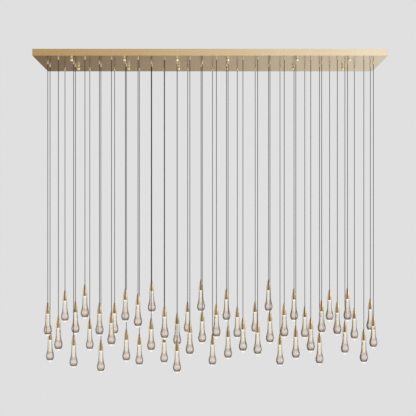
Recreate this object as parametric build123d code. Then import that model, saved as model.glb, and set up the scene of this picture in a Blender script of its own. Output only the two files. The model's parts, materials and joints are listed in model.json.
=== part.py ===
from build123d import *
import os

# Linear chandelier: a long tray canopy with four rows of glass drops on thin cables.
# Millimetres. The origin is on the ceiling at the middle of the canopy, +Z is up, +X runs along the canopy
# and -Y is the front.

# Places of the drops: each row has three banks at one pitch
PITCH = 167.0
FRONT_LEFT_GAP = 159.0      # left bank to middle bank
FRONT_MIDDLE_LEFT_GAP = 162.5
REAR_MIDDLE_LEFT_GAP = 156.5
REAR_LEFT_GAP = 158.5
FRONT_RIGHT_GAP = 92.5      # middle bank to right bank
FRONT_MIDDLE_RIGHT_GAP = 270.5
REAR_MIDDLE_RIGHT_GAP = 276.5
REAR_RIGHT_GAP = 120.5
OUTER_BANK_COUNTS = (5, 3, 5)
MIDDLE_BANK_COUNTS = (6, 2, 5)
FRONT_STAGGER = 96.5        # first drop of the row, right of the first drop of the rear middle row
FRONT_MIDDLE_STAGGER = 2.5
REAR_STAGGER = 73.5
END_MARGIN = 53.5           # canopy's ends to the first and last drops of the rear middle row
MIDDLE_ROW_Y = 45.0
OUTER_ROW_Y = 187.0
EDGE_MARGIN = 67.0          # outer rows to the canopy's long edges

# How far the top of each cap hangs below the canopy, from left to right
FRONT_HANG = (1625, 1425, 1595, 1480, 1555, 1655, 1545, 1635, 1655, 1545, 1635, 1530, 1705)
FRONT_MIDDLE_HANG = (1550, 1755, 1550, 1460, 1650, 1790, 1600, 1700, 1600, 1700, 1535, 1455, 1630)
REAR_MIDDLE_HANG = (1730, 1550, 1800, 1730, 1410, 1625, 1405, 1465, 1405, 1465, 1750, 1680, 1530)
REAR_HANG = (1485, 1675, 1570, 1780, 1765, 1560, 1780, 1595, 1560, 1780, 1595, 1480, 1605)

# Canopy
CANOPY_HEIGHT = 42.0
SHEET = 1.5
RIM_WIDTH = 10.0            # flange that is folded in against the ceiling

# Ceiling bars, with their studs and cap nuts
BAR_DISTANCES = (237.0, 568.0, 898.0, 1216.0, 1650.0, 1977.0)   # from the canopy's left end
BAR_WIDTH = 30.0
BAR_THICKNESS = 3.0
BAR_OVERHANG = 18.0         # past each stud
FRONT_STUD_OFFSET = 21.0    # front studs, in front of the front row
REAR_STUD_OFFSET = 27.0     # rear studs, behind the rear middle row
STUD_RADIUS = 3.0
STUD_REACH = 14.0           # into the cap nut
STUD_CLEARANCE = 0.3
CEILING_SCREW_SPACING = 200.0
CEILING_SCREW_HOLE_RADIUS = 3.5
LOCK_NUT_FLATS = 10.0
LOCK_NUT_HEIGHT = 5.0
WASHER_RADIUS = 7.0
WASHER_THICKNESS = 1.0
CAP_NUT_LENGTH = 27.0
CAP_NUT_TOP_RADIUS = 5.5
CAP_NUT_RADIUS = 9.3
CAP_NUT_DOME = 10.0
CAP_NUT_SPARE_DEPTH = 2.0   # bore below the stud's end

# Cables and their grips
CABLE_RADIUS = 2.0
CABLE_CLEARANCE = 0.3
GRIP_LENGTH = 12.0          # below the canopy
GRIP_RADIUS = 5.0
GRIP_EDGE = 0.8
GRIP_MOUTH_DEPTH = 5.0      # flared mouth in which the cable swings
GRIP_MOUTH_RADIUS = 3.6
NIPPLE_RADIUS = 4.0
NIPPLE_LENGTH = 7.0         # above the canopy's floor
NIPPLE_CLEARANCE = 0.2
GRIP_NUT_FLATS = 12.0
GRIP_NUT_HEIGHT = 3.5
GRUB_SCREW_RADIUS = 1.5
GRUB_SCREW_DEPTH = 3.5      # its axis below the canopy
GRUB_SCREW_GAP = 0.05       # its tip to the cable
GRUB_SOCKET_FLATS = 1.5
GRUB_SOCKET_DEPTH = 1.5

# Supply strips over the grips
STRIP_HEIGHT = 14.5         # above the canopy's floor
STRIP_WIDTH = 18.0
STRIP_THICKNESS = 1.6
STRIP_OVERHANG = 20.0       # past the first and last cable
POST_RADIUS = 4.0
POST_DROP_COUNTS = (1, 4, 7, 10, 12)   # drops of the row that are left of each post

# Drivers, terminal block and leads on the canopy's floor
DRIVER_LENGTH = 180.0
DRIVER_WIDTH = 42.0
DRIVER_HEIGHT = 28.0
DRIVER_EDGE = 2.0
TAB_LENGTH = 16.0
TAB_WIDTH = 12.0
TAB_THICKNESS = 3.0
WELD_STUD_RADIUS = 2.0
WELD_STUD_HEIGHT = 8.0
WELD_STUD_CLEARANCE = 0.2
STUD_NUT_FLATS = 7.0
STUD_NUT_HEIGHT = 3.2
BLOCK_LENGTH = 36.0
BLOCK_WIDTH = 22.0
BLOCK_HEIGHT = 18.0
BLOCK_BASE = 4.0
BLOCK_WELL_RADIUS = 4.5
MAINS_LEAD_RADIUS = 3.0
MAINS_LEAD_HEIGHT = 8.0     # axis above the canopy's floor
MAINS_LEAD_SPACING = 12.0
MAINS_LEAD_RUN = 56.0       # out of the block, and again into the driver
OUTPUT_LEAD_RADIUS = 2.0
OUTPUT_LEAD_RUN = 62.0      # out of the driver
BEND_SHARE = 0.45           # of the shorter run, for the radius of a lead's bend
EARTH_LUG_DISTANCE = 75.0   # from the block's axis
EARTH_LUG_RADIUS = 5.0
EARTH_LUG_THICKNESS = 1.0
EARTH_BARREL_RADIUS = 2.2
EARTH_BARREL_LENGTH = 12.0  # from the lug's centre
EARTH_LEAD_RADIUS = 1.5

# Glass drop, its cap and what the cap holds
CAP_HEIGHT = 72.0
CAP_TOP_WALL = 8.0          # over the wiring bore
CAP_NOSE_WALL = 2.2         # round the cable hole
CAP_WALL = 2.0              # round the heat sink
CAP_LIP = 3.7               # round the neck sleeve
CAP_EDGE = 1.2
WIRING_BORE_RADIUS = 4.0
STOP_RADIUS = 3.5
STOP_LENGTH = 10.0
HEAT_SINK_RADIUS = 10.0
HEAT_SINK_LENGTH = 14.0
CHIP_RADIUS = 6.0
CHIP_THICKNESS = 1.5
CHIP_GAP = 2.5              # light chip to glass
SPIGOT_RADIUS = 11.6
SPIGOT_LENGTH = 14.0
SLEEVE_WALL = 1.0
GLASS_LENGTH = 146.0        # below the cap
NECK_STEP = 1.8             # neck inside the cap's lip
BULB_RADIUS = 26.3
BULB_DEPTH = 40.0           # widest place to the bottom
NECK_PULL = 90.0            # how far the neck's line carries down
BULB_PULL = 21.0            # how far the bulb's line carries up
TIP_PULL = 0.4              # how far the tip's line carries out, as a share of the bulb's radius
SIDE_BANDS = 8              # stretches in the curved side of a turned piece
ROUND_PULL = 0.5523         # handle of a curve that makes a quarter oval, as a share of its radius

# Worked out from the sizes above
UNDERSIDE = -CANOPY_HEIGHT
FLOOR = UNDERSIDE + SHEET
CANOPY_LENGTH = (2 * END_MARGIN + PITCH * (sum(MIDDLE_BANK_COUNTS) - len(MIDDLE_BANK_COUNTS))
                 + REAR_MIDDLE_LEFT_GAP + REAR_MIDDLE_RIGHT_GAP)
CANOPY_DEPTH = 2 * (OUTER_ROW_Y + EDGE_MARGIN)
BAR_PLACES = [distance - CANOPY_LENGTH / 2 for distance in BAR_DISTANCES]
FRONT_STUD_Y = -OUTER_ROW_Y - FRONT_STUD_OFFSET
REAR_STUD_Y = MIDDLE_ROW_Y + REAR_STUD_OFFSET
STUD_SPACING = REAR_STUD_Y - FRONT_STUD_Y
STUD_PLACES = [(x, y) for x in BAR_PLACES for y in (FRONT_STUD_Y, REAR_STUD_Y)]
GRIP_BORE_RADIUS = CABLE_RADIUS + CABLE_CLEARANCE
PIVOT = UNDERSIDE - GRIP_LENGTH + GRIP_MOUTH_DEPTH
STRIP_UNDERSIDE = FLOOR + STRIP_HEIGHT
SOCKET_RADIUS = SPIGOT_RADIUS + SLEEVE_WALL
SOCKET_TOP = SPIGOT_LENGTH - CAP_HEIGHT
CHIP_UNDERSIDE = SOCKET_TOP + CHIP_GAP
HEAT_SINK_UNDERSIDE = CHIP_UNDERSIDE + CHIP_THICKNESS
HEAT_SINK_TOP = HEAT_SINK_UNDERSIDE + HEAT_SINK_LENGTH
CAP_MOUTH_RADIUS = SOCKET_RADIUS + CAP_LIP
DRIVER_Y = (MIDDLE_ROW_Y + OUTER_ROW_Y) / 2
TAB_STUD_OFFSET = DRIVER_WIDTH / 2 + TAB_WIDTH / 2


def row_places(stagger, banks, gaps, y):
    """Places (x, y) of a row's drops, from left to right."""
    places = []
    x = END_MARGIN - CANOPY_LENGTH / 2 + stagger
    for count, gap in zip(banks, (*gaps, 0.0)):
        places += [(x + PITCH * step, y) for step in range(count)]
        x = places[-1][0] + gap
    return places


ROW_PLACES = {
    "front": row_places(FRONT_STAGGER, OUTER_BANK_COUNTS, (FRONT_LEFT_GAP, FRONT_RIGHT_GAP), -OUTER_ROW_Y),
    "front_middle": row_places(FRONT_MIDDLE_STAGGER, MIDDLE_BANK_COUNTS,
                               (FRONT_MIDDLE_LEFT_GAP, FRONT_MIDDLE_RIGHT_GAP), -MIDDLE_ROW_Y),
    "rear_middle": row_places(0.0, MIDDLE_BANK_COUNTS, (REAR_MIDDLE_LEFT_GAP, REAR_MIDDLE_RIGHT_GAP),
                              MIDDLE_ROW_Y),
    "rear": row_places(REAR_STAGGER, OUTER_BANK_COUNTS, (REAR_LEFT_GAP, REAR_RIGHT_GAP), OUTER_ROW_Y),
}
ROW_HANG = {
    "front": FRONT_HANG,
    "front_middle": FRONT_MIDDLE_HANG,
    "rear_middle": REAR_MIDDLE_HANG,
    "rear": REAR_HANG,
}
ALL_PLACES = [place for places in ROW_PLACES.values() for place in places]

# The terminal block stands in the wide gap of the rear middle row, with two drivers on each side of it
LAST_OF_MIDDLE_BANK = sum(MIDDLE_BANK_COUNTS[:2]) - 1
BLOCK_X = ROW_PLACES["rear_middle"][LAST_OF_MIDDLE_BANK][0] + REAR_MIDDLE_RIGHT_GAP / 2
DRIVER_REACH = BLOCK_LENGTH / 2 + 2 * MAINS_LEAD_RUN    # block's middle to the driver's near end
DRIVER_OFFSET = DRIVER_REACH + DRIVER_LENGTH / 2
# Each driver's side of the block along X, and the side of the canopy that it lies on
DRIVER_SIDES = {"front": (-1, -1), "front_middle": (1, -1), "rear_middle": (1, 1), "rear": (-1, 1)}
DRIVER_PLACES = {row: (BLOCK_X + along * DRIVER_OFFSET, across * DRIVER_Y)
                 for row, (along, across) in DRIVER_SIDES.items()}
EARTH_PLACE = (BLOCK_X, EARTH_LUG_DISTANCE)
TAB_STUD_PLACES = [(x, y + side * TAB_STUD_OFFSET) for x, y in DRIVER_PLACES.values() for side in (-1, 1)]


def turned(*outline):
    """Solid of revolution about Z, from a closed half outline drawn as (radius, height)."""
    edges = [edge for line in outline for edge in line.edges()]
    return revolve(Plane.XZ * make_face(edges), Axis.Z, clean=False)


def round_end(radius, start, end, tip_pull=ROUND_PULL):
    """Rounded end from the side of a turned piece, at one height, to its axis at another; a quarter oval unless
    the tip's pull is given."""
    side_pull = start + ROUND_PULL * (end - start)
    return Bezier((radius, start), (radius, side_pull), (tip_pull * radius, end), (0, end))


def in_bands(curve):
    """A curved side as several stretches, so that each one keeps its own edge."""
    return [curve.trim(band / SIDE_BANDS, (band + 1) / SIDE_BANDS) for band in range(SIDE_BANDS)]


def ring(radius, bore, bottom, top):
    """Round washer-like solid between two heights."""
    middle = Pos(0, 0, (bottom + top) / 2)
    return middle * (Cylinder(radius, top - bottom) - Cylinder(bore, top - bottom))


def rod(radius, bottom, top):
    """Plain upright round bar between two heights."""
    return Pos(0, 0, (bottom + top) / 2) * Cylinder(radius, top - bottom)


def slab(length, width, bottom, top):
    """Rectangular block centred in X and Y, between two heights."""
    return Pos(0, 0, (bottom + top) / 2) * Box(length, width, top - bottom)


def hex_nut(flats, bore, bottom, top):
    """Hexagon nut between two heights."""
    hexagon = RegularPolygon(flats / 2, 6, major_radius=False) - Circle(bore)
    return Pos(0, 0, bottom) * extrude(hexagon, top - bottom)


def lead(radius, points):
    """Round lead along straight runs that are joined by arcs."""
    lengths = [(Vector(*end) - Vector(*start)).length for start, end in zip(points, points[1:])]
    route = FilletPolyline(*points, radius=BEND_SHARE * min(lengths))
    section = Plane(route @ 0, z_dir=route % 0) * Circle(radius)
    return sweep(section, path=route)


def at_places(shape, places, height=0.0):
    """A copy of a shape at each place."""
    return [Pos(x, y, height) * shape for x, y in places]


def canopy_tray():
    """Folded sheet tray, open to the ceiling, with its welded studs."""
    tray = slab(CANOPY_LENGTH, CANOPY_DEPTH, UNDERSIDE, 0)
    tray -= slab(CANOPY_LENGTH - 2 * SHEET, CANOPY_DEPTH - 2 * SHEET, FLOOR, -SHEET)
    tray -= slab(CANOPY_LENGTH - 2 * RIM_WIDTH, CANOPY_DEPTH - 2 * RIM_WIDTH, -SHEET, 0)
    grip_hole = rod(NIPPLE_RADIUS + NIPPLE_CLEARANCE, UNDERSIDE, FLOOR)
    stud_hole = rod(STUD_RADIUS + STUD_CLEARANCE, UNDERSIDE, FLOOR)
    tray -= at_places(grip_hole, ALL_PLACES) + at_places(stud_hole, STUD_PLACES)
    weld_stud = rod(WELD_STUD_RADIUS, FLOOR, FLOOR + WELD_STUD_HEIGHT)
    return tray + at_places(weld_stud, [*TAB_STUD_PLACES, (BLOCK_X, 0), EARTH_PLACE])


def mounting_bar():
    """Steel strip across the canopy, with two threaded holes and two ceiling screw holes."""
    bar = slab(BAR_WIDTH, STUD_SPACING + 2 * BAR_OVERHANG, -BAR_THICKNESS, 0)
    half_spacings = (STUD_SPACING / 2, CEILING_SCREW_SPACING / 2)
    for radius, half in zip((STUD_RADIUS, CEILING_SCREW_HOLE_RADIUS), half_spacings):
        bar -= at_places(rod(radius, -BAR_THICKNESS, 0), [(0, -half), (0, half)])
    return bar


def cap_nut():
    """Turned drop-shaped nut with a blind bore, hanging from height zero."""
    widest = CAP_NUT_DOME - CAP_NUT_LENGTH
    bore = STUD_RADIUS + STUD_CLEARANCE
    bore_end = -STUD_REACH - CAP_NUT_SPARE_DEPTH
    side = Bezier((CAP_NUT_TOP_RADIUS, 0), (CAP_NUT_TOP_RADIUS, widest / 2), (CAP_NUT_RADIUS, widest / 2),
                  (CAP_NUT_RADIUS, widest))
    return turned(
        Polyline((0, -CAP_NUT_LENGTH), (0, bore_end), (bore, bore_end), (bore, 0), (CAP_NUT_TOP_RADIUS, 0)),
        *in_bands(side),
        *in_bands(round_end(CAP_NUT_RADIUS, widest, -CAP_NUT_LENGTH)),
    )


def cable_grip():
    """Barrel under the canopy with a flared mouth, and a threaded nipple through the canopy's floor."""
    barrel_end = UNDERSIDE - GRIP_LENGTH
    nipple_end = FLOOR + NIPPLE_LENGTH
    grip = turned(Polyline(
        (GRIP_BORE_RADIUS, nipple_end),
        (NIPPLE_RADIUS, nipple_end),
        (NIPPLE_RADIUS, UNDERSIDE),
        (GRIP_RADIUS, UNDERSIDE),
        (GRIP_RADIUS, barrel_end + GRIP_EDGE),
        (GRIP_RADIUS - GRIP_EDGE, barrel_end),
        (GRIP_MOUTH_RADIUS, barrel_end),
        (GRIP_BORE_RADIUS, PIVOT),
        close=True,
    ))
    return grip - grub_screw_bar(0, GRIP_RADIUS)


def grub_screw_bar(start, end):
    """Round bar on the grub screw's axis, which points to the rear, between two distances from the cable."""
    axis = Plane((0, start, UNDERSIDE - GRUB_SCREW_DEPTH), x_dir=(1, 0, 0), z_dir=(0, 1, 0))
    return extrude(axis * Circle(GRUB_SCREW_RADIUS), end - start)


def grub_screw():
    """Headless screw with a hexagon socket, which holds the cable in its grip."""
    socket_start = Plane(
        (0, GRIP_RADIUS - GRUB_SOCKET_DEPTH, UNDERSIDE - GRUB_SCREW_DEPTH), x_dir=(1, 0, 0), z_dir=(0, 1, 0)
    )
    socket = extrude(socket_start * RegularPolygon(GRUB_SOCKET_FLATS / 2, 6, major_radius=False),
                     GRUB_SOCKET_DEPTH)
    return grub_screw_bar(CABLE_RADIUS + GRUB_SCREW_GAP, GRIP_RADIUS) - socket


def supply_strip(places):
    """Flat strip over a row's grips, where its cables end."""
    first, y = places[0]
    last = places[-1][0]
    strip = slab(last - first + 2 * STRIP_OVERHANG, STRIP_WIDTH, STRIP_UNDERSIDE,
                 STRIP_UNDERSIDE + STRIP_THICKNESS)
    return Pos((first + last) / 2, y, 0) * strip


def post_places(places):
    """Places of the posts that carry a row's strip."""
    return [((places[count - 1][0] + places[count][0]) / 2, places[count][1]) for count in POST_DROP_COUNTS]


def driver():
    """Closed driver case with a fixing tab on each long side."""
    case = slab(DRIVER_LENGTH, DRIVER_WIDTH, FLOOR, FLOOR + DRIVER_HEIGHT)
    case = fillet(case.edges().filter_by(Axis.Z), DRIVER_EDGE)
    tabs = slab(TAB_LENGTH, DRIVER_WIDTH + 2 * TAB_WIDTH, FLOOR, FLOOR + TAB_THICKNESS)
    hole = rod(WELD_STUD_RADIUS + WELD_STUD_CLEARANCE, FLOOR, FLOOR + TAB_THICKNESS)
    return case + tabs - at_places(hole, [(0, -TAB_STUD_OFFSET), (0, TAB_STUD_OFFSET)])


def terminal_block():
    """Mains terminal block with a well for its fixing nut."""
    block = slab(BLOCK_LENGTH, BLOCK_WIDTH, FLOOR, FLOOR + BLOCK_HEIGHT)
    block -= rod(BLOCK_WELL_RADIUS, FLOOR + BLOCK_BASE, FLOOR + BLOCK_HEIGHT)
    return block - rod(WELD_STUD_RADIUS + WELD_STUD_CLEARANCE, FLOOR, FLOOR + BLOCK_BASE)


def mains_lead(along, across):
    """Lead on the canopy's floor from the terminal block to one driver."""
    height = FLOOR + MAINS_LEAD_HEIGHT
    start = BLOCK_X + along * BLOCK_LENGTH / 2
    turn = start + along * MAINS_LEAD_RUN
    end = turn + along * MAINS_LEAD_RUN
    near = across * MAINS_LEAD_SPACING / 2
    far = across * DRIVER_Y
    return lead(MAINS_LEAD_RADIUS, [(start, near, height), (turn, near, height), (turn, far, height),
                                    (end, far, height)])


def output_lead(row):
    """Lead from a driver's outer end to the edge of its row's strip."""
    along, across = DRIVER_SIDES[row]
    x, y = DRIVER_PLACES[row]
    row_y = ROW_PLACES[row][0][1]
    towards_driver = 1 if y > row_y else -1
    height = STRIP_UNDERSIDE + STRIP_THICKNESS / 2
    start = x + along * DRIVER_LENGTH / 2
    turn = start + along * OUTPUT_LEAD_RUN
    end = row_y + towards_driver * STRIP_WIDTH / 2
    return lead(OUTPUT_LEAD_RADIUS, [(start, y, height), (turn, y, height), (turn, end, height)])


def earth_lug():
    """Ring terminal on the earth stud, with its barrel towards the terminal block."""
    x, y = EARTH_PLACE
    plate = rod(EARTH_LUG_RADIUS, FLOOR, FLOOR + EARTH_LUG_THICKNESS)
    barrel_plane = Plane((0, -EARTH_LUG_RADIUS / 2 - WELD_STUD_RADIUS, FLOOR + EARTH_BARREL_RADIUS),
                         x_dir=(1, 0, 0), z_dir=(0, -1, 0))
    barrel_length = EARTH_BARREL_LENGTH - EARTH_LUG_RADIUS / 2 - WELD_STUD_RADIUS
    barrel = extrude(barrel_plane * Circle(EARTH_BARREL_RADIUS), barrel_length)
    hole = rod(WELD_STUD_RADIUS + WELD_STUD_CLEARANCE, FLOOR, FLOOR + EARTH_LUG_THICKNESS)
    return Pos(x, y, 0) * (plate + barrel - hole)


def earth_lead():
    """Short straight wire from the terminal block to the earth lug."""
    start = Plane((BLOCK_X, BLOCK_WIDTH / 2, FLOOR + EARTH_BARREL_RADIUS), x_dir=(1, 0, 0), z_dir=(0, 1, 0))
    length = EARTH_LUG_DISTANCE - EARTH_BARREL_LENGTH - BLOCK_WIDTH / 2
    return extrude(start * Circle(EARTH_LEAD_RADIUS), length)


def cable(hang):
    """Hanging cable from its swing point in the grip to the heat sink in the cap."""
    end = UNDERSIDE - hang + HEAT_SINK_TOP
    return turned(
        CenterArc((0, PIVOT), CABLE_RADIUS, 0, 90),
        Polyline((0, PIVOT + CABLE_RADIUS), (0, end), (CABLE_RADIUS, end), (CABLE_RADIUS, PIVOT)),
    )


def cap():
    """Turned tapering cap with its top at height zero and a stepped bore for what it holds."""
    nose_radius = GRIP_BORE_RADIUS + CAP_NOSE_WALL
    side = ThreePointArc((nose_radius, -CAP_EDGE), (HEAT_SINK_RADIUS + CAP_WALL, -CAP_HEIGHT / 2),
                         (CAP_MOUTH_RADIUS, -CAP_HEIGHT))
    return turned(
        Polyline(
            (CAP_MOUTH_RADIUS, -CAP_HEIGHT),
            (SOCKET_RADIUS, -CAP_HEIGHT),
            (SOCKET_RADIUS, SOCKET_TOP),
            (HEAT_SINK_RADIUS, SOCKET_TOP),
            (HEAT_SINK_RADIUS, HEAT_SINK_TOP),
            (WIRING_BORE_RADIUS, HEAT_SINK_TOP),
            (WIRING_BORE_RADIUS, -CAP_TOP_WALL),
            (GRIP_BORE_RADIUS, -CAP_TOP_WALL),
            (GRIP_BORE_RADIUS, 0),
            (nose_radius - CAP_EDGE, 0),
            (nose_radius, -CAP_EDGE),
        ),
        *in_bands(side),
    )


def glass_drop():
    """Solid glass drop with its spigot in the cap, in the cap's own heights."""
    neck_radius = CAP_MOUTH_RADIUS - NECK_STEP
    bottom = -CAP_HEIGHT - GLASS_LENGTH
    widest = bottom + BULB_DEPTH
    side = Bezier((neck_radius, -CAP_HEIGHT), (neck_radius, -CAP_HEIGHT - NECK_PULL),
                  (BULB_RADIUS, widest + BULB_PULL), (BULB_RADIUS, widest))
    return turned(
        Polyline((0, bottom), (0, SOCKET_TOP), (SPIGOT_RADIUS, SOCKET_TOP), (SPIGOT_RADIUS, -CAP_HEIGHT),
                 (neck_radius, -CAP_HEIGHT)),
        *in_bands(side),
        *in_bands(round_end(BULB_RADIUS, widest, bottom, TIP_PULL)),
    )


def write(node, shapes):
    """Write a node's solids to its own file."""
    solids = [solid for shape in shapes for solid in shape.solids()]
    export_step(Compound(solids), f"parts/{node}.step")


def write_canopy():
    """The canopy and everything that stays with it."""
    stud_end = UNDERSIDE - WASHER_THICKNESS - STUD_REACH
    lock_nut = hex_nut(LOCK_NUT_FLATS, STUD_RADIUS, -BAR_THICKNESS - LOCK_NUT_HEIGHT, -BAR_THICKNESS)
    washer = ring(WASHER_RADIUS, STUD_RADIUS + STUD_CLEARANCE, UNDERSIDE - WASHER_THICKNESS, UNDERSIDE)
    write("canopy_tray", [canopy_tray()])
    for number, x in enumerate(BAR_PLACES, start=1):
        write(f"mounting_bar_{number}", at_places(mounting_bar(), [(x, FRONT_STUD_Y + STUD_SPACING / 2)]))
    write("bar_studs", at_places(rod(STUD_RADIUS, stud_end, 0), STUD_PLACES))
    write("bar_lock_nuts", at_places(lock_nut, STUD_PLACES))
    write("cap_nut_washers", at_places(washer, STUD_PLACES))
    write("cap_nuts", at_places(cap_nut(), STUD_PLACES, UNDERSIDE - WASHER_THICKNESS))

    grip_nut = hex_nut(GRIP_NUT_FLATS, NIPPLE_RADIUS, FLOOR, FLOOR + GRIP_NUT_HEIGHT)
    tail = rod(CABLE_RADIUS, PIVOT + CABLE_RADIUS + CABLE_CLEARANCE, STRIP_UNDERSIDE)
    write("cable_grips", at_places(cable_grip(), ALL_PLACES))
    write("grip_nuts", at_places(grip_nut, ALL_PLACES))
    write("grip_screws", at_places(grub_screw(), ALL_PLACES))
    write("cable_tails", at_places(tail, ALL_PLACES))

    posts = []
    post = rod(POST_RADIUS, FLOOR, STRIP_UNDERSIDE)
    for row, places in ROW_PLACES.items():
        write(f"{row}_supply_strip", [supply_strip(places)])
        write(f"{row}_driver", at_places(driver(), [DRIVER_PLACES[row]]))
        posts += at_places(post, post_places(places))
    write("strip_posts", posts)

    def stud_nut(seat):
        return hex_nut(STUD_NUT_FLATS, WELD_STUD_RADIUS, FLOOR + seat, FLOOR + seat + STUD_NUT_HEIGHT)

    nuts = at_places(stud_nut(TAB_THICKNESS), TAB_STUD_PLACES)
    nuts += at_places(stud_nut(BLOCK_BASE), [(BLOCK_X, 0)])
    nuts += at_places(stud_nut(EARTH_LUG_THICKNESS), [EARTH_PLACE])
    write("stud_nuts", nuts)
    write("terminal_block", at_places(terminal_block(), [(BLOCK_X, 0)]))
    write("mains_leads", [mains_lead(along, across) for along, across in DRIVER_SIDES.values()])
    write("output_leads", [output_lead(row) for row in ROW_PLACES])
    write("earth_lug", [earth_lug()])
    write("earth_lead", [earth_lead()])


def write_row(row):
    """One row of drops, which swings at its grips."""
    places = ROW_PLACES[row]
    pieces = {
        "cable_stops": ring(STOP_RADIUS, CABLE_RADIUS, -CAP_TOP_WALL - STOP_LENGTH, -CAP_TOP_WALL),
        "caps": cap(),
        "heat_sinks": rod(HEAT_SINK_RADIUS, HEAT_SINK_UNDERSIDE, HEAT_SINK_TOP),
        "led_chips": rod(CHIP_RADIUS, CHIP_UNDERSIDE, HEAT_SINK_UNDERSIDE),
        "neck_sleeves": ring(SOCKET_RADIUS, SPIGOT_RADIUS, -CAP_HEIGHT, SOCKET_TOP),
        "glass_drops": glass_drop(),
    }
    write(f"{row}_cables", [Pos(x, y, 0) * cable(hang) for (x, y), hang in zip(places, ROW_HANG[row])])
    for name, piece in pieces.items():
        write(f"{row}_{name}",
              [Pos(x, y, UNDERSIDE - hang) * piece for (x, y), hang in zip(places, ROW_HANG[row])])


os.makedirs("parts", exist_ok=True)
write_canopy()
for row_name in ROW_PLACES:
    write_row(row_name)
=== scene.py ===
import json
import math

import bmesh
import bpy
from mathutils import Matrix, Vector


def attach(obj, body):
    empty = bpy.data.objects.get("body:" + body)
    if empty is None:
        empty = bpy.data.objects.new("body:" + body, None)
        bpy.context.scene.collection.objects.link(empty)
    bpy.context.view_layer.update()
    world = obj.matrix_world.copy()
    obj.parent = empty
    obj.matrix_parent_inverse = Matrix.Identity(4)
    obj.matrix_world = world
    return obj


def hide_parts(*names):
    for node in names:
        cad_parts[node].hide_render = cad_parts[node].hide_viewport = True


# Linear chandelier: brushed gold canopy, thin dark cables, brown-gold caps and lit solid glass drops.
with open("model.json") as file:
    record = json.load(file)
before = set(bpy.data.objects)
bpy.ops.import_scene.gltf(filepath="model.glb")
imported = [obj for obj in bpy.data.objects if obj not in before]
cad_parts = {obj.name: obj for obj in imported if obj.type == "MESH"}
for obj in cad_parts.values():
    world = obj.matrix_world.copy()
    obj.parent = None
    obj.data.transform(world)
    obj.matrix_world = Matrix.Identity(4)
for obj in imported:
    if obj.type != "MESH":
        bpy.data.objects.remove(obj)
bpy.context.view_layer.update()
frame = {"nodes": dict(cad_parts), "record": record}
scene = bpy.context.scene
MM = 0.001

# Places of the drops, in millimetres, as in the part's source
PITCH = 167.0
FIRST_DROP = -1051.5        # of the rear middle row
UNDERSIDE = -42.0
GRIP_MOUTH_DEPTH = 7.0      # below the underside, where a cable swings
SWING_POINT = UNDERSIDE - GRIP_MOUTH_DEPTH
HEAT_SINK_DEPTH = 40.0      # below the top of a cap, where the cable ends
ROWS = {
    "front": {
        "y": -187.0, "stagger": 96.5, "banks": (5, 3, 5), "gaps": (159.0, 92.5),
        "hang": (1625, 1425, 1595, 1480, 1555, 1655, 1545, 1635, 1655, 1545, 1635, 1530, 1705),
    },
    "front_middle": {
        "y": -45.0, "stagger": 2.5, "banks": (6, 2, 5), "gaps": (162.5, 270.5),
        "hang": (1550, 1755, 1550, 1460, 1650, 1790, 1600, 1700, 1600, 1700, 1535, 1455, 1630),
    },
    "rear_middle": {
        "y": 45.0, "stagger": 0.0, "banks": (6, 2, 5), "gaps": (156.5, 276.5),
        "hang": (1730, 1550, 1800, 1730, 1410, 1625, 1405, 1465, 1405, 1465, 1750, 1680, 1530),
    },
    "rear": {
        "y": 187.0, "stagger": 73.5, "banks": (5, 3, 5), "gaps": (158.5, 120.5),
        "hang": (1485, 1675, 1570, 1780, 1765, 1560, 1780, 1595, 1560, 1780, 1595, 1480, 1605),
    },
}

# Cables
CABLE_DIAMETER = 4.0        # in millimetres
CABLE_SHARES = (0.0, 1 / 3, 2 / 3, 1.0)     # control points along a taut cable
CABLE_ORDER = 3
CABLE_STEPS = 4             # from one control point to the next
CABLE_ROUNDNESS = 3

# Glass drop, in millimetres
CAP_HEIGHT = 72.0
SPIGOT_RADIUS = 11.6
SPIGOT_LENGTH = 14.0
NECK_RADIUS = 14.5
NECK_PULL = 90.0
BULB_RADIUS = 26.3
BULB_PULL = 21.0
BULB_DEPTH = 40.0
GLASS_LENGTH = 146.0
ROUND_PULL = 0.5523         # shares of the bulb's depth and radius, and steps of the mesh
TIP_PULL = 0.4
SIDE_STEPS = 26
ROUND_STEPS = 14
AROUND = 48

# Photograph: the camera stands level in front of the canopy's middle
CAMERA_PLACE = (0.0, -5.486, -1.1503)
CAMERA_LENS = 72.9
CAMERA_SHIFT = (-0.0053, 0.0625)
SENSOR_WIDTH = 36.0
BACKDROP = (0.745, 0.745, 0.745)
FLOOR_HEIGHT = -3.0
FLOOR_RADIUS = 2.9
FLOOR_SEGMENTS = 96

# Soft lamp at the right, in front
LAMP_PLACE = (4.8, -2.6, 0.4)
LAMP_TARGET = (0.0, 0.0, -1.2)
LAMP_SIZE = 2.4
LAMP_POWER = 40.0

# Studio around the chandelier, as (place, colour) from left to right
STUDIO_FRONT = [
    (0.02, (1.05, 1.07, 1.1)),
    (0.1, (0.85, 0.8, 0.72)),
    (0.22, (0.515, 0.42, 0.27)),
    (0.4, (0.68, 0.54, 0.29)),
    (0.5, (1.06, 0.96, 0.77)),
    (0.6, (1.48, 1.66, 1.96)),
    (0.68, (1.62, 1.82, 2.13)),
    (0.8, (1.53, 1.68, 1.9)),
    (0.92, (1.05, 1.1, 1.2)),
]
STUDIO_BACK = [
    (0.05, (1.05, 1.1, 1.15)),
    (0.3, (0.24, 0.2, 0.15)),
    (0.4, (0.22, 0.175, 0.13)),
    (0.5, (0.49, 0.44, 0.36)),
    (0.6, (0.86, 0.85, 0.8)),
    (0.7, (1.08, 1.1, 1.12)),
    (0.9, (1.1, 1.15, 1.25)),
]
FRONT_TO_BACK = (-0.15, 0.15)       # Y of a direction, where the front goes over into the back
UPPER_START = (0.25, 0.36)          # Z of a direction, where the darker upper part starts in reflections
UPPER_SHARE = 0.8
UPPER_COLOUR = (0.05, 0.03, 0.015)

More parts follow.
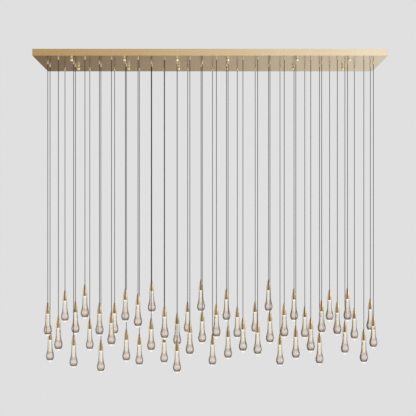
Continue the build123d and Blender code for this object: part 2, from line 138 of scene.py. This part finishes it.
# Panels behind the chandelier that only the glass shows, as (heading, colour) from left to right
LEFT_PANEL = (0.36, 0.36, 0.36)
RIGHT_PANEL_EDGE = (0.3, 0.3, 0.3)
RIGHT_PANEL = (0.05, 0.05, 0.05)
PANELS = [
    (0.1, BACKDROP),
    (0.17, LEFT_PANEL),
    (0.23, LEFT_PANEL),
    (0.32, BACKDROP),
    (0.63, BACKDROP),
    (0.71, RIGHT_PANEL_EDGE),
    (0.77, RIGHT_PANEL),
    (0.86, RIGHT_PANEL),
    (0.93, BACKDROP),
]

# Glass, as (depth, colour) from the cap's mouth at 0 to the tip at 1
# the glass's own pale warm tint, darker towards the tip, with painted shade from about 0.8 of the depth on:
# a dark band standing in for dark surroundings seen through the bottom
GLASS_TINT_AND_PAINTED_BAND = [
    (0.0, (0.97, 0.92, 0.83)),
    (0.5, (0.97, 0.9, 0.8)),
    (0.64, (0.9, 0.79, 0.69)),
    (0.75, (0.94, 0.84, 0.75)),
    (0.81, (0.6, 0.51, 0.44)),
    (0.87, (0.2, 0.16, 0.13)),
]
# painted shade: dark colour where the glass is seen edge on, standing in for dark surroundings seen through
# its rim
GLASS_PAINTED_EDGE = [
    (0.0, (0.28, 0.25, 0.22)),
    (0.4, (0.2, 0.183, 0.167)),
    (0.65, (0.16, 0.145, 0.13)),
    (0.9, (0.03, 0.027, 0.025)),
]
# painted glow: emission under the cap's mouth and at the tip, standing in for the LED's light carried
# through the glass
GLASS_PAINTED_GLOW = [
    (0.0, (0.36, 0.33, 0.25)),
    (0.08, (0.055, 0.045, 0.025)),
    (0.5, (0.03, 0.02, 0.01)),
    (0.7, (0.01, 0.008, 0.006)),
    (0.895, (0.01, 0.008, 0.006)),
    (0.92, (0.73, 0.71, 0.66)),
]
PAINTED_EDGE_WIDTH = [                      # greys: more than 1 widens the painted dark edge
    (0.3, (1.0, 1.0, 1.0)),
    (0.45, (1.4, 1.4, 1.4)),
    (0.58, (1.3, 1.3, 1.3)),
    (0.7, (0.8, 0.8, 0.8)),
]
PAINTED_EDGE_START = (0.08, 0.4)            # how far the glass turns away, where its painted dark edge starts
GLASS_IOR = 1.5

# Grain of the materials
EVEN = (1.0, 1.0, 1.0)
NOISE_LOW = 0.3                     # most of a noise lies between these
NOISE_HIGH = 0.7
STREAK_SHARE = 0.65
CLOUD_SHARE = 0.35
CLOUD_STRETCH = (3.0, 3.0, 3.0)
STREAK_BUMP = 0.04
GRAIN_BUMP = 0.1
COAT_ROUGHNESS = 0.1
PAINTED_SHEEN_START = (0.02, 0.22)          # how far a metal turns away, where its painted sheen starts
CHIP_GLOW = 3.0

METALS = {
    "canopy_gold": {
        "dark": (0.62, 0.47, 0.28), "light": (0.72, 0.57, 0.38), "stretch": (6.0, 900.0, 900.0),
        "rough": (0.18, 0.28), "coat": 0.1,
    },
    "nut_gold": {
        "dark": (0.79, 0.69, 0.49), "light": (0.89, 0.79, 0.6), "stretch": (90.0, 90.0, 2600.0),
        "rough": (0.18, 0.26),
    },
    "grip_brass": {
        "dark": (0.59, 0.51, 0.37), "light": (0.71, 0.62, 0.47), "stretch": (90.0, 90.0, 2600.0),
        "rough": (0.3, 0.4),
    },
    # the caps carry a painted sheen: paler colour at their flanks, standing in for reflected light
    "cap_brass": {
        "dark": (0.235, 0.16, 0.085), "light": (0.31, 0.216, 0.124), "stretch": (60.0, 60.0, 1500.0),
        "rough": (0.1, 0.16), "coat": 0.2, "painted_sheen": (0.66, 0.53, 0.37),
    },
    "steel": {
        "dark": (0.5, 0.5, 0.5), "light": (0.68, 0.67, 0.64), "stretch": (160.0, 160.0, 160.0),
        "rough": (0.28, 0.42),
    },
    "heat_sink": {
        "dark": (0.62, 0.62, 0.63), "light": (0.76, 0.76, 0.77), "stretch": (80.0, 80.0, 2200.0),
        "rough": (0.22, 0.35),
    },
}
PLASTICS = {
    "silicone": {
        "dark": (0.62, 0.62, 0.59), "light": (0.74, 0.74, 0.71), "scale": 260.0, "rough": (0.4, 0.55),
    },
    "post_plastic": {
        "dark": (0.66, 0.66, 0.62), "light": (0.76, 0.76, 0.72), "scale": 300.0, "rough": (0.42, 0.55),
    },
    "driver_case": {
        "dark": (0.68, 0.68, 0.67), "light": (0.76, 0.76, 0.75), "scale": 520.0, "rough": (0.4, 0.55),
    },
    "block_plastic": {
        "dark": (0.72, 0.71, 0.66), "light": (0.82, 0.8, 0.75), "scale": 420.0, "rough": (0.38, 0.5),
    },
    "lead": {
        "dark": (0.58, 0.58, 0.56), "light": (0.7, 0.7, 0.68), "scale": 240.0, "rough": (0.42, 0.58),
    },
}
FLOOR_PAINT = {
    "dark": (0.71, 0.71, 0.71), "light": (0.74, 0.74, 0.74), "scale": 3.0, "rough": (0.6, 0.7), "bump": 0.0,
}


def place_camera():
    """The photograph's camera, level and looking along +Y."""
    data = bpy.data.cameras.new("camera")
    data.sensor_width = SENSOR_WIDTH
    data.lens = CAMERA_LENS
    data.shift_x, data.shift_y = CAMERA_SHIFT
    camera = bpy.data.objects.new("camera", data)
    camera.location = CAMERA_PLACE
    camera.rotation_euler = (math.radians(90), 0, 0)
    scene.collection.objects.link(camera)
    scene.camera = camera


class Nodes:
    """Short way to build one node tree."""

    def __init__(self, tree):
        self.tree = tree

    def add(self, kind, settings=(), **inputs):
        """A node of a kind, with its properties and its inputs: a socket is linked and a value is set."""
        node = self.tree.nodes.new("ShaderNode" + kind)
        for name, value in dict(settings).items():
            setattr(node, name, value)
        for name, value in inputs.items():
            self.join(node, name.replace("_", " "), value)
        return node

    def join(self, node, name, value):
        """Links or sets one input, which is given by its name, or by its number after a letter."""
        socket = node.inputs[int(name[1:])] if name[1:].isdigit() else node.inputs[name]
        if isinstance(value, bpy.types.NodeSocket):
            self.tree.links.new(value, socket)
        else:
            socket.default_value = value

    def ramp(self, factor, stops):
        """Colour ramp through (place, colour) stops."""
        node = self.add("ValToRGB", Fac=factor)
        elements = node.color_ramp.elements
        while len(elements) < len(stops):
            elements.new(0.5)
        for element, (place, colour) in zip(elements, stops):
            element.position = place
            element.color = (*colour, 1.0)
        return node.outputs["Color"]

    def two_tone(self, noise, dark, light):
        """A noise as a blend of two colours."""
        return self.ramp(noise, [(NOISE_LOW, dark), (NOISE_HIGH, light)])

    def range(self, value, low, high, to_low=0.0, to_high=1.0, smooth=False):
        """A value carried from one range to another."""
        blend = "SMOOTHSTEP" if smooth else "LINEAR"
        node = self.add("MapRange", {"interpolation_type": blend}, Value=value)
        for name, number in zip(("From Min", "From Max", "To Min", "To Max"), (low, high, to_low, to_high)):
            node.inputs[name].default_value = number
        return node.outputs["Result"]

    def mix(self, factor, first, second):
        """Two colours mixed by a factor."""
        node = self.add("Mix", {"data_type": "RGBA"})
        self.join(node, "i0", factor)
        for name, colour in (("i6", first), ("i7", second)):
            self.join(node, name, colour if isinstance(colour, bpy.types.NodeSocket) else (*colour, 1.0))
        return node.outputs[2]

    def math(self, operation, first, second):
        """Two values joined by an operation."""
        node = self.add("Math", {"operation": operation}, i0=first, i1=second)
        return node.outputs[0]

    def noise(self, vector, scale, detail=3.0, roughness=0.55):
        """Cloudy noise."""
        node = self.add("TexNoise", Vector=vector, Scale=scale, Detail=detail, Roughness=roughness)
        return node.outputs["Fac"]

    def wave(self, direction, scale, distortion=0.0):
        """Bands across a direction."""
        settings = {"bands_direction": direction}
        return self.add("TexWave", settings, Vector=self.stretched(EVEN), Scale=scale,
                        Distortion=distortion).outputs["Fac"]

    def stretched(self, stretch):
        """Object coordinates, stretched by a factor along each axis."""
        coordinates = self.add("TexCoord").outputs["Object"]
        return self.add("Mapping", Vector=coordinates, Scale=stretch).outputs["Vector"]

    def facing(self):
        """How far the surface turns away from the view, from 0 to 1."""
        return self.add("LayerWeight", Blend=0.5).outputs["Facing"]

    def bump(self, height, strength, distance):
        """Surface normal over a height, for a distance in metres."""
        return self.add("Bump", Strength=strength, Distance=distance, Height=height).outputs["Normal"]


def new_material(name):
    """A material with an empty node tree, its nodes and its Principled shader."""
    material = bpy.data.materials.new(name)
    material.use_nodes = True
    material.node_tree.nodes.clear()
    nodes = Nodes(material.node_tree)
    shader = nodes.add("BsdfPrincipled")
    nodes.add("OutputMaterial", Surface=shader.outputs["BSDF"])
    return material, nodes, shader


def metal(name, dark, light, stretch, rough, coat=0.0, painted_sheen=None):
    """Worked metal: streaks in its colour, roughness and surface, along the axis that is stretched least.
    A painted sheen is a paler colour painted where it is seen edge on, which stands in for reflected light."""
    material, nodes, shader = new_material(name)
    streaks = nodes.noise(nodes.stretched(stretch), 1.0, 4.0)
    clouds = nodes.noise(nodes.stretched(CLOUD_STRETCH), 1.0, 2.0)
    both = nodes.math("ADD", nodes.math("MULTIPLY", streaks, STREAK_SHARE),
                      nodes.math("MULTIPLY", clouds, CLOUD_SHARE))
    colour = nodes.two_tone(both, dark, light)
    # painted sheen: a paler colour mixed in where the metal turns edge on, standing in for the bright
    # reflection at its flanks
    if painted_sheen:
        colour = nodes.mix(nodes.range(nodes.facing(), *PAINTED_SHEEN_START, smooth=True), colour, painted_sheen)
    nodes.join(shader, "Base Color", colour)
    nodes.join(shader, "Metallic", 1.0)
    nodes.join(shader, "Roughness", nodes.range(streaks, 0.25, 0.75, *rough))
    nodes.join(shader, "Normal", nodes.bump(streaks, STREAK_BUMP, 0.0004))
    nodes.join(shader, "Coat Weight", coat)
    nodes.join(shader, "Coat Roughness", COAT_ROUGHNESS)
    return material


def plastic(name, dark, light, scale, rough, bump=GRAIN_BUMP):
    """Moulded plastic, rubber or paint with a fine grain."""
    material, nodes, shader = new_material(name)
    grain = nodes.noise(nodes.stretched(EVEN), scale, 4.0, 0.6)
    nodes.join(shader, "Base Color", nodes.two_tone(grain, dark, light))
    nodes.join(shader, "Roughness", nodes.range(grain, NOISE_LOW, NOISE_HIGH, *rough))
    nodes.join(shader, "Normal", nodes.bump(grain, bump, 0.0003))
    return material


def cable_sheath(name):
    """Dark sheath over twisted strands."""
    material, nodes, shader = new_material(name)
    wave = nodes.wave("DIAGONAL", 160.0, 0.4)
    colour = nodes.ramp(wave, [(0.2, (0.01, 0.009, 0.008)), (0.8, (0.022, 0.02, 0.018))])
    nodes.join(shader, "Base Color", colour)
    nodes.join(shader, "Specular IOR Level", 0.15)
    nodes.join(shader, "Roughness", nodes.range(wave, 0.0, 1.0, 0.5, 0.65))
    nodes.join(shader, "Normal", nodes.bump(wave, 0.3, 0.0002))
    return material


def striped_wire(name):
    """Green earth wire with its yellow stripe."""
    material, nodes, shader = new_material(name)
    wave = nodes.wave("Z", 170.0, 0.2)
    colour = nodes.ramp(wave, [(0.48, (0.08, 0.3, 0.06)), (0.52, (0.72, 0.6, 0.05))])
    nodes.join(shader, "Base Color", colour)
    nodes.join(shader, "Roughness", nodes.range(wave, 0.0, 1.0, 0.42, 0.5))
    return material


def circuit_board(name):
    """Green lacquer over copper tracks that run along the strip."""
    material, nodes, shader = new_material(name)
    tracks = nodes.wave("Y", 52.0)
    weave = nodes.noise(nodes.stretched((60.0, 900.0, 900.0)), 1.0)
    board = nodes.two_tone(weave, (0.02, 0.09, 0.035), (0.03, 0.13, 0.05))
    colour = nodes.mix(nodes.range(tracks, 0.45, 0.6, smooth=True), board, (0.07, 0.24, 0.1))
    nodes.join(shader, "Base Color", colour)
    nodes.join(shader, "Roughness", nodes.range(weave, 0.2, 0.8, 0.28, 0.42))
    nodes.join(shader, "Normal", nodes.bump(tracks, 0.2, 0.0002))
    return material


def lit_chip(name):
    """Lit warm white chip, deeper in colour between its emitters."""
    material, nodes, shader = new_material(name)
    cells = nodes.add("TexVoronoi", Vector=nodes.stretched(EVEN), Scale=420.0).outputs["Distance"]
    colour = nodes.ramp(cells, [(0.2, (1.0, 0.9, 0.68)), (0.8, (1.0, 0.8, 0.5))])
    nodes.join(shader, "Base Color", colour)
    nodes.join(shader, "Emission Color", colour)
    nodes.join(shader, "Emission Strength", CHIP_GLOW)
    nodes.join(shader, "Roughness", nodes.range(cells, 0.0, 1.0, 0.4, 0.6))
    return material


def lit_glass(name):
    """Clear solid glass with a painted glow under the cap and at its tip, painted shade near its tip, and
    painted dark edges where it is seen edge on.
    """
    material, nodes, shader = new_material(name)
    depth = nodes.add("Attribute", {"attribute_name": "drop_depth"}).outputs["Fac"]
    swirl = nodes.noise(nodes.stretched((40.0, 40.0, 14.0)), 1.0, 2.0)
    # own tint, with the painted dark band near the tip
    body = nodes.ramp(depth, GLASS_TINT_AND_PAINTED_BAND)
    # painted shade at the rim: dark edge colour mixed in where the glass turns edge on
    edge = nodes.ramp(depth, GLASS_PAINTED_EDGE)
    facing = nodes.math("MULTIPLY", nodes.facing(), nodes.ramp(depth, PAINTED_EDGE_WIDTH))
    nodes.join(shader, "Base Color", nodes.mix(nodes.range(facing, *PAINTED_EDGE_START, smooth=True), body, edge))
    nodes.join(shader, "Transmission Weight", 1.0)
    nodes.join(shader, "IOR", GLASS_IOR)
    nodes.join(shader, "Roughness", nodes.range(swirl, NOISE_LOW, NOISE_HIGH, 0.005, 0.03))
    nodes.join(shader, "Normal", nodes.bump(swirl, 0.02, 0.002))
    # painted glow under the cap and at the tip
    nodes.join(shader, "Emission Color", nodes.ramp(depth, GLASS_PAINTED_GLOW))
    nodes.join(shader, "Emission Strength", 1.0)
    return material


def floor_paint(name):
    """Pale floor that doesn't hide the chandelier from below."""
    material = plastic(name, **FLOOR_PAINT)
    nodes = Nodes(material.node_tree)
    output = material.node_tree.nodes["Material Output"]
    paint = output.inputs["Surface"].links[0].from_socket
    from_below = nodes.add("NewGeometry").outputs["Backfacing"]
    clear = nodes.add("BsdfTransparent").outputs["BSDF"]
    both = nodes.add("MixShader", Fac=from_below, i1=paint, i2=clear)
    nodes.join(output, "Surface", both.outputs["Shader"])
    return material


MATERIALS = {
    **{name: metal(name, **look) for name, look in METALS.items()},
    **{name: plastic(name, **look) for name, look in PLASTICS.items()},
    "cable": cable_sheath("cable"),
    "earth_wire": striped_wire("earth_wire"),
    "strip_board": circuit_board("strip_board"),
    "led": lit_chip("led"),
    "glass": lit_glass("glass"),
}


def dress_nodes():
    """Every node takes the material of its slot."""
    for entry in frame["record"]["subparts"]:
        mesh = frame["nodes"][entry["node"]].data
        mesh.materials.clear()
        mesh.materials.append(MATERIALS[entry["material_slot"]])


def add_piece(name, data, body, slot, *nodes):
    """A piece that rides on a body and stands for its nodes."""
    piece = bpy.data.objects.new(name, data)
    scene.collection.objects.link(piece)
    data.materials.append(MATERIALS[slot])
    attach(piece, body)
    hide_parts(*nodes)
    return piece


def row_drops(row):
    """X of each drop and its hanging depth, in millimetres."""
    places = []
    x = FIRST_DROP + row["stagger"]
    for count, gap in zip(row["banks"], (*row["gaps"], 0.0)):
        places += [x + PITCH * step for step in range(count)]
        x = places[-1] + gap
    return list(zip(places, row["hang"]))


def cable_curve(name, x, y, top, bottom):
    """Taut round cable between two heights, in metres."""
    data = bpy.data.curves.new(name, "CURVE")
    data.dimensions = "3D"
    spline = data.splines.new("NURBS")
    heights = [top + (bottom - top) * share for share in CABLE_SHARES]
    spline.points.add(len(heights) - 1)
    for point, z in zip(spline.points, heights):
        point.co = (x, y, z, 1.0)
    spline.order_u = CABLE_ORDER
    spline.use_endpoint_u = True
    data.resolution_u = CABLE_STEPS
    data.bevel_depth = CABLE_DIAMETER / 2 * MM
    data.bevel_resolution = CABLE_ROUNDNESS
    data.use_fill_caps = True
    return data


def add_cables():
    """One taut cable for each drop, from its grip into its cap."""
    cables = []
    for row_name, row in ROWS.items():
        for number, (x, hang) in enumerate(row_drops(row), start=1):
            name = f"{row_name}_cable_{number:02d}"
            top = Vector((x, row["y"], SWING_POINT)) * MM
            bottom = (UNDERSIDE - hang - HEAT_SINK_DEPTH) * MM
            curve = cable_curve(name, top.x, top.y, top.z, bottom)
            piece = add_piece(name, curve, f"{row_name}_row", "cable", f"{row_name}_cables")
            cables.append((top.z - bottom, piece, top))
    cables.sort(key=lambda entry: -entry[0])


def cubic(points, steps):
    """Points on a cubic curve with four handles, without its last point."""
    first, second, third, fourth = (Vector(point) for point in points)
    for step in range(steps):
        t = step / steps
        yield (first * (1 - t) ** 3 + second * 3 * t * (1 - t) ** 2
               + third * 3 * t ** 2 * (1 - t) + fourth * t ** 3)


def drop_outline():
    """Outline of a drop from its top to its tip, as (radius, height from the cap's mouth)."""
    widest = BULB_DEPTH - GLASS_LENGTH
    outline = [Vector((SPIGOT_RADIUS, SPIGOT_LENGTH)), Vector((SPIGOT_RADIUS, 0.0))]
    outline += cubic([(NECK_RADIUS, 0.0), (NECK_RADIUS, -NECK_PULL), (BULB_RADIUS, widest + BULB_PULL),
                      (BULB_RADIUS, widest)], SIDE_STEPS)
    side_pull = widest - ROUND_PULL * BULB_DEPTH
    outline += cubic([(BULB_RADIUS, widest), (BULB_RADIUS, side_pull),
                      (TIP_PULL * BULB_RADIUS, -GLASS_LENGTH), (0.0, -GLASS_LENGTH)], ROUND_STEPS)
    return outline


def add_drop(mesh, depth_layer, outline, x, y, z):
    """One turned drop, closed at its top and its tip, with its cap's mouth at a height z in metres."""
    rings = []
    for radius, height in outline:
        ring = []
        for step in range(AROUND):
            turn = 2 * math.pi * step / AROUND
            around = Vector((math.cos(turn), math.sin(turn), 0.0)) * radius * MM
            vertex = mesh.verts.new(around + Vector((x, y, z + height * MM)))
            vertex[depth_layer] = max(0.0, -height / GLASS_LENGTH)
            ring.append(vertex)
        rings.append(ring)
    tip = mesh.verts.new((x, y, z - GLASS_LENGTH * MM))
    tip[depth_layer] = 1.0
    mesh.faces.new(rings[0])
    for upper, lower in zip(rings, rings[1:]):
        for step in range(AROUND):
            after = (step + 1) % AROUND
            mesh.faces.new((upper[step], lower[step], lower[after], upper[after])).smooth = True
    for step in range(AROUND):
        mesh.faces.new((rings[-1][step], tip, rings[-1][(step + 1) % AROUND])).smooth = True


def add_glass():
    """The drops of each row as smooth turned glass."""
    outline = drop_outline()
    for row_name, row in ROWS.items():
        mesh = bmesh.new()
        depth_layer = mesh.verts.layers.float.new("drop_depth")
        for x, hang in row_drops(row):
            mouth = (UNDERSIDE - hang - CAP_HEIGHT) * MM
            add_drop(mesh, depth_layer, outline, x * MM, row["y"] * MM, mouth)
        bmesh.ops.recalc_face_normals(mesh, faces=mesh.faces)
        data = bpy.data.meshes.new(f"{row_name}_glass")
        mesh.to_mesh(data)
        mesh.free()
        add_piece(f"{row_name}_glass", data, f"{row_name}_row", "glass", f"{row_name}_glass_drops")


def add_floor():
    """Round pale floor under the chandelier, below the photograph's view."""
    mesh = bmesh.new()
    bmesh.ops.create_circle(mesh, cap_ends=True, segments=FLOOR_SEGMENTS, radius=FLOOR_RADIUS)
    data = bpy.data.meshes.new("floor")
    mesh.to_mesh(data)
    mesh.free()
    floor = bpy.data.objects.new("floor", data)
    floor.location.z = FLOOR_HEIGHT
    scene.collection.objects.link(floor)
    data.materials.append(floor_paint("floor"))


def light_world():
    """Plain backdrop to the camera, the same with two dark panels to the glass, and a studio to the rest:
    bright at both sides, and darker above in reflections."""
    world = bpy.data.worlds.new("studio")
    scene.world = world
    world.use_nodes = True
    world.node_tree.nodes.clear()
    nodes = Nodes(world.node_tree)
    direction = nodes.add("TexCoord").outputs["Generated"]
    axes = nodes.add("SeparateXYZ", Vector=direction).outputs
    path = nodes.add("LightPath").outputs

    across = nodes.range(axes["X"], -1.0, 1.0)
    front = nodes.ramp(across, STUDIO_FRONT)
    back = nodes.ramp(across, STUDIO_BACK)
    studio = nodes.mix(nodes.range(axes["Y"], *FRONT_TO_BACK, smooth=True), front, back)
    above = nodes.range(axes["Z"], *UPPER_START, smooth=True)
    upper = nodes.math("MULTIPLY", path["Is Glossy Ray"], above)
    studio = nodes.mix(nodes.math("MULTIPLY", upper, UPPER_SHARE), studio, UPPER_COLOUR)

    heading = nodes.range(nodes.math("ARCTAN2", axes["X"], axes["Y"]), -math.pi / 2, math.pi / 2)
    panels = nodes.ramp(heading, PANELS)
    lit = nodes.mix(path["Is Transmission Ray"], studio, panels)
    seen = nodes.mix(path["Is Camera Ray"], lit, BACKDROP)
    background = nodes.add("Background", Color=seen, Strength=1.0)
    nodes.add("OutputWorld", Surface=background.outputs["Background"])


def add_soft_light(name):
    """Large soft lamp, turned towards the drops."""
    data = bpy.data.lights.new(name, "AREA")
    data.shape = "SQUARE"
    data.size = LAMP_SIZE
    data.energy = LAMP_POWER
    lamp = bpy.data.objects.new(name, data)
    lamp.location = LAMP_PLACE
    lamp.rotation_euler = (Vector(LAMP_TARGET) - Vector(LAMP_PLACE)).to_track_quat("-Z", "Y").to_euler()
    scene.collection.objects.link(lamp)


scene.view_settings.view_transform = "Standard"
place_camera()
dress_nodes()
add_cables()
add_glass()
add_floor()
light_world()
add_soft_light("key_lamp")
